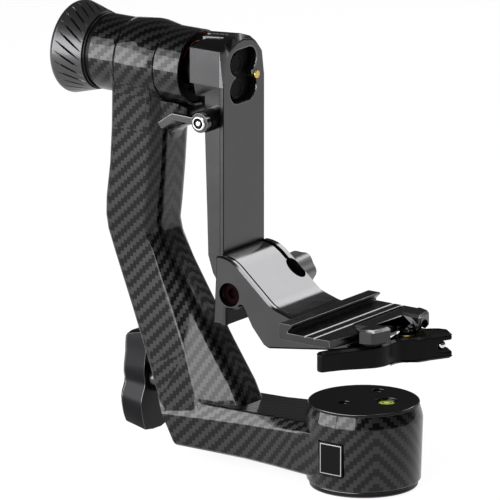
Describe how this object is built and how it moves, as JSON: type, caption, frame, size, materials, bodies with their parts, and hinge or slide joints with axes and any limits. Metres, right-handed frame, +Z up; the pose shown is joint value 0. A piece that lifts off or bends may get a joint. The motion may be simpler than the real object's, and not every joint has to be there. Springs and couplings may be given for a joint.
{
  "type": "gimbal tripod head",
  "caption": "Gimbal head with a carbon arm on a panning drum, a swing arm on a knurled tilt lock, a sliding foot and a lever clamp for a lens foot.",
  "frame": {"origin": "centre of the tripod screw hole, on the pan axis, on the underside of the base", "axes": "+Z up along the pan axis; X along the tilt axis, with the tilt lock knob at -X; Y along the lens clamp"},
  "size_m": [0.2413, 0.0971, 0.2497],
  "materials": {
    "carbon": "clear-coated carbon fibre twill, glossy",
    "satin_grey": "dark grey anodised, satin",
    "black": "black anodised, satin, with bright edge lines",
    "black_satin": "black anodised, satin",
    "black_steel": "blackened",
    "steel": "machined",
    "polished_steel": "polished",
    "brass": "machined",
    "red_anodised": "red anodised",
    "level_yellow": "clear yellow-green vial"
  },
  "bodies": {
    "tripod_base": {"base_plate": "satin_grey", "thread_insert": "steel", "pan_spindle": "steel", "spindle_nut": "satin_grey"},
    "arm": {"carbon_arm": "carbon", "base_cap": "black", "cap_screw_1": "black_steel", "cap_screw_2": "black_steel", "level_housing": "black", "level_vial": "level_yellow", "badge_plate": "steel", "pan_bearing_lower": "steel", "pan_bearing_upper": "steel", "knob_bearing": "satin_grey", "brake_rocker": "steel", "rocker_pin": "steel", "brake_shoe": "brass", "brake_push_rod": "steel", "tilt_bearing_left": "steel", "tilt_bearing_right": "steel", "retaining_ring": "satin_grey", "red_collar": "red_anodised", "thrust_washer": "black"},
    "pan_knob": {"pan_lock_knob": "satin_grey", "pan_knob_screw": "steel"},
    "swing": {"swing_arm": "satin_grey", "tilt_shaft": "steel", "arm_screw_upper": "black_steel", "arm_screw_lower": "black_steel", "brass_pin": "brass"},
    "tilt_knob": {"tilt_lock_knob": "black_satin", "tilt_knob_insert": "brass", "tilt_knob_cap": "black"},
    "crank": {"tilt_lever": "satin_grey", "tilt_lever_screw": "polished_steel"},
    "foot": {"foot_bracket": "satin_grey", "height_clamp_bolt": "red_anodised", "clamp_base": "black", "base_screw_rear": "black_steel", "base_screw_front": "black_steel", "guide_pin_near": "steel", "guide_pin_far": "steel"},
    "height_knob": {"height_clamp_knob": "satin_grey"},
    "jaw": {"moving_jaw": "black", "lever_pivot_screw": "black_steel", "pivot_washer": "brass", "brass_pad": "brass"},
    "lever": {"jaw_lever": "black", "fork_ball": "polished_steel"}
  },
  "joints": [
    {"name": "pan", "type": "hinge", "parent": "tripod_base", "child": "arm", "pos_m": [0, 0, 0], "axis": [0, 0, 1], "continuous": true},
    {"name": "pan_lock", "type": "hinge", "parent": "arm", "child": "pan_knob", "pos_m": [-0.1435, 0, 0.0382], "axis": [-1, 0, 0], "range_deg": [-90, 90]},
    {"name": "tilt", "type": "hinge", "parent": "arm", "child": "swing", "pos_m": [-0.105, 0, 0.2233], "axis": [1, 0, 0], "continuous": true},
    {"name": "tilt_lock", "type": "hinge", "parent": "swing", "child": "tilt_knob", "pos_m": [-0.1745, 0, 0.2233], "axis": [-1, 0, 0], "range_deg": [-180, 180]},
    {"name": "tilt_lever_turn", "type": "hinge", "parent": "swing", "child": "crank", "pos_m": [-0.0913, -0.0258, 0.2006], "axis": [0, -1, 0], "range_deg": [-45, 60]},
    {"name": "height_slide", "type": "slide", "parent": "swing", "child": "foot", "axis": [0, 0, 1], "range_m": [0, 0.055]},
    {"name": "height_lock", "type": "hinge", "parent": "foot", "child": "height_knob", "pos_m": [-0.0754, 0.024, 0.1025], "axis": [0, 1, 0], "range_deg": [-180, 180]},
    {"name": "jaw_slide", "type": "slide", "parent": "foot", "child": "jaw", "axis": [1, 0, 0], "range_m": [0, 0.0039]},
    {"name": "lever_turn", "type": "hinge", "parent": "jaw", "child": "lever", "pos_m": [0.0221, 0.0094, 0.0874], "axis": [0, 0, 1], "range_deg": [0, 59]}
  ],
  "couplings": [
    {"joint": "lever_turn", "follows": "jaw_slide", "rad_per_m": 263}
  ]
}
